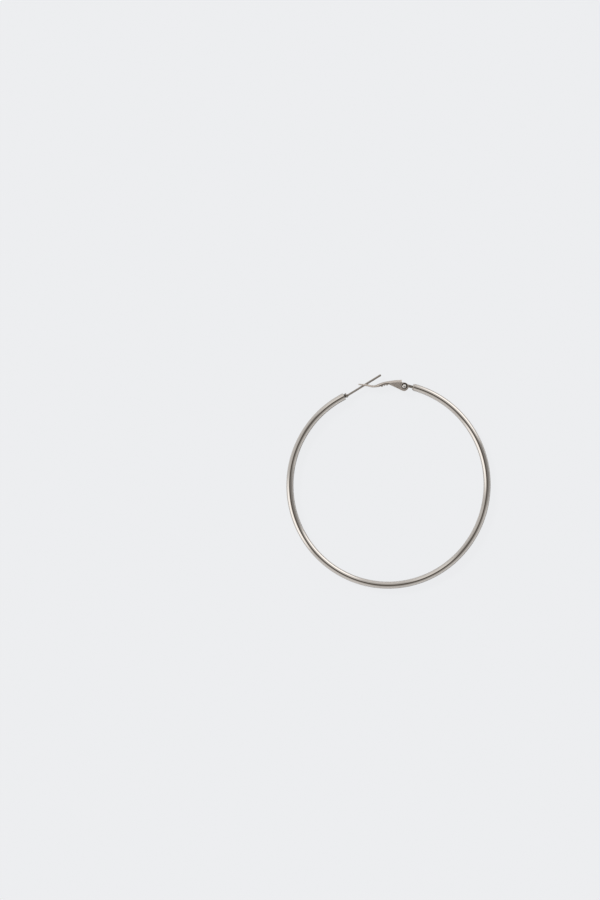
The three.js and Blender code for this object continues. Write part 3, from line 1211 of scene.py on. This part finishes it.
@dataclass
class Studio:
    """A pale table, light boxes all round, a key light and a camera straight above.

    The camera looks down through a dark opening in the lights, a little off the vertical, which
    leaves the dark line along the tube. It sees the table as an even glow, for the share of
    table_glow, with hardly a shadow. In reflections the table is matt white and takes shadows, which
    gives the tube its dark rim. Angles are in degrees. The camera's clip, and the shift that carries
    the hoop's origin to its place in the frame, are in metres.
    """

    shift: np.ndarray
    table_radius: float = 1500.0
    table_sides: int = 128
    table_glow: float = 0.97
    table_white: str = "#B3B4B6"
    key_strength: float = 6.7
    key_azimuth: float = 140.0
    key_angle: float = 60.0
    key_softness: float = 14.0
    backdrop_colour: str = "#EDEEF0"
    opening_colour: str = "#68625C"
    opening_azimuth: float = 225.0
    opening_tilt: float = 7.0
    opening_fade: tuple[float, float] = (23.0, 18.0)
    high_fade: tuple[float, float] = (58.0, 40.0)
    room_level: float = 0.8
    room_high_level: float = 0.42
    box_softness: float = 9.0
    boxes: tuple[LightBox, ...] = (
        LightBox(47, 18, 1.15, 0.42),
        LightBox(81, 13, 0.12, 0.2),
        LightBox(116, 13, 0.16, 0.65),
        LightBox(165, 11, 0.0, 0.25),
        LightBox(199, 18, 0.9, 1.0),
        LightBox(245, 15, 0.07, 0.25),
        LightBox(7, 14, -0.42, -0.1),
    )
    scale_px: float = 2.94
    middle_px: tuple[float, float] = (387.88, 484.97)
    picture_px: tuple[int, int] = (600, 900)
    roll: float = 5.67
    lens: float = 100.0
    sensor: float = 36.0
    clip: tuple[float, float] = (0.01, 20.0)

    def direction(self, azimuth: float, tilt: float) -> np.ndarray:
        """The direction at this azimuth in the picture, and this far from the vertical."""
        slope = math.radians(tilt)
        aside = turned(np.array([1.0, 0.0, 0.0]), azimuth - self.roll)
        return aside * math.sin(slope) + UP * math.cos(slope)

    def build_table(self) -> None:
        """A round table under the earring."""
        rim = arc((0, 0), self.table_radius * MM, 0, 360, self.table_sides)[:-1] + self.shift[:2]
        mesh = bpy.data.meshes.new("table_top")
        points = np.c_[rim, np.zeros(len(rim))].tolist()
        mesh.from_pydata(points, [], [list(range(len(rim)))])
        material = bpy.data.materials.new("lit_white_acrylic")
        add = node_adder(material)
        glow = add("Emission", Color=linear(self.backdrop_colour), Strength=1.0)
        matt = add("BsdfDiffuse", Color=linear(self.table_white))
        seen = add("LightPath").outputs["Is Camera Ray"]
        share = add("Math", {"operation": "MULTIPLY"}, in_0=seen, in_1=self.table_glow)
        surface = add(
            "MixShader",
            in_0=share.outputs[0],
            in_1=matt.outputs["BSDF"],
            in_2=glow.outputs["Emission"],
        )
        add("OutputMaterial", Surface=surface.outputs["Shader"])
        mesh.materials.append(material)
        linked("table_top", mesh)

    def build_light(self) -> None:
        """World light by direction: room and light boxes, with a dark opening above.

        A light box counts fully where the direction's azimuth is within its reach and fades out over
        its softness. Its level goes over to its high level between high_fade's angles from the
        vertical, and the opening is fully dark within the second of opening_fade's.
        """
        world = bpy.data.worlds.new("light_boxes")
        bpy.context.scene.world = world
        add = node_adder(world)
        where = add("TexCoord").outputs["Generated"]
        flat = add("VectorMath", {"operation": "MULTIPLY"}, in_0=where, in_1=(1.0, 1.0, 0.0))
        level = add("VectorMath", {"operation": "NORMALIZE"}, in_0=flat.outputs[0]).outputs[0]
        soft = self.box_softness
        cones = [
            (level, self.direction(box.azimuth, 90), box.reach + soft, box.reach - soft)
            for box in self.boxes
        ]
        cones.append((where, UP, *self.high_fade))
        opening_axis = self.direction(self.opening_azimuth, self.opening_tilt)
        cones.append((where, opening_axis, *self.opening_fade))
        shares = []
        for vector, axis, outer, inner in cones:
            facing = add("VectorMath", {"operation": "DOT_PRODUCT"}, in_0=vector, in_1=tuple(axis))
            share = add(
                "MapRange",
                {"interpolation_type": "SMOOTHSTEP"},
                Value=facing.outputs["Value"],
                From_Min=math.cos(math.radians(outer)),
                From_Max=math.cos(math.radians(inner)),
            )
            shares.append(share.outputs["Result"])
        *box_shares, rise, opening = shares
        levels: list[bpy.types.NodeSocket | float] = [self.room_level, self.room_high_level]
        for box, share in zip(self.boxes, box_shares):
            for k, strength in enumerate((box.level, box.high_level)):
                total = {"in_0": share, "in_1": strength, "in_2": levels[k]}
                levels[k] = add("Math", {"operation": "MULTIPLY_ADD"}, **total).outputs[0]
        boxes = add("Mix", {"data_type": "FLOAT"}, in_0=rise, in_2=levels[0], in_3=levels[1])
        colours = {"data_type": "RGBA"}
        dark = linear(self.opening_colour)
        light = add("Mix", colours, in_0=opening, in_6=boxes.outputs[0], in_7=dark).outputs[2]
        seen = add("LightPath").outputs["Is Camera Ray"]
        shown = add("Mix", colours, in_0=seen, in_6=light, in_7=linear(self.backdrop_colour))
        glow = add("Background", Color=shown.outputs[2])
        add("OutputWorld", Surface=glow.outputs["Background"])

    def build_key(self) -> None:
        """The key light from the upper left, which lights the table and isn't mirrored itself."""
        light = bpy.data.lights.new("key_light", "SUN")
        light.energy = self.key_strength
        light.angle = math.radians(self.key_softness)
        key = linked("key_light", light)
        towards = Vector(self.direction(self.key_azimuth, self.key_angle))
        key.rotation_euler = towards.to_track_quat("Z", "Y").to_euler()
        key.visible_glossy = False

    def build_camera(self) -> None:
        """A long lens straight above, turned so that the hoop lies as in the picture.

        The picture's height in mm is its height in pixels over the scale, and the camera stands off
        by that height times lens over sensor.
        """
        width, height = self.picture_px
        right = (width / 2 - self.middle_px[0]) / self.scale_px
        up = (self.middle_px[1] - height / 2) / self.scale_px
        stand_off = height / self.scale_px * self.lens / self.sensor
        aside = turned(np.array([right, up, stand_off]), -self.roll)
        camera = bpy.data.cameras.new("camera_above")
        camera.lens = self.lens
        camera.sensor_width = self.sensor
        camera.clip_start, camera.clip_end = self.clip
        holder = linked("camera_above", camera)
        holder.location = Vector(self.shift + aside * MM)
        holder.rotation_euler = (0.0, 0.0, -math.radians(self.roll))
        bpy.context.scene.camera = holder

    def build(self) -> None:
        """Sets up table, lights and camera, with colours shown as they are."""
        bpy.context.scene.view_settings.view_transform = "Standard"
        self.build_table()
        self.build_light()
        self.build_key()
        self.build_camera()


def main() -> None:
    """Builds the studio and the earring, and reports each piece."""
    logging.basicConfig(level=logging.INFO, format="%(name)s: %(message)s")
    clasp = Clasp(HoopLine())
    # The hinge's place in the frame tells where the hoop's origin lies there.
    shift = np.array(frame["joints"][0]["pos_m"]) - clasp.hinge_pin * MM
    Studio(shift).build()
    for kind in (HoopTube, EarPost, HingeTab, HingeRivet, LatchLever):
        piece = kind(clasp, shift).build()
        LOG.info("%s: %d faces", piece.name, len(piece.data.polygons))
    bpy.context.view_layer.update()


if __name__ == "__main__":
    main()
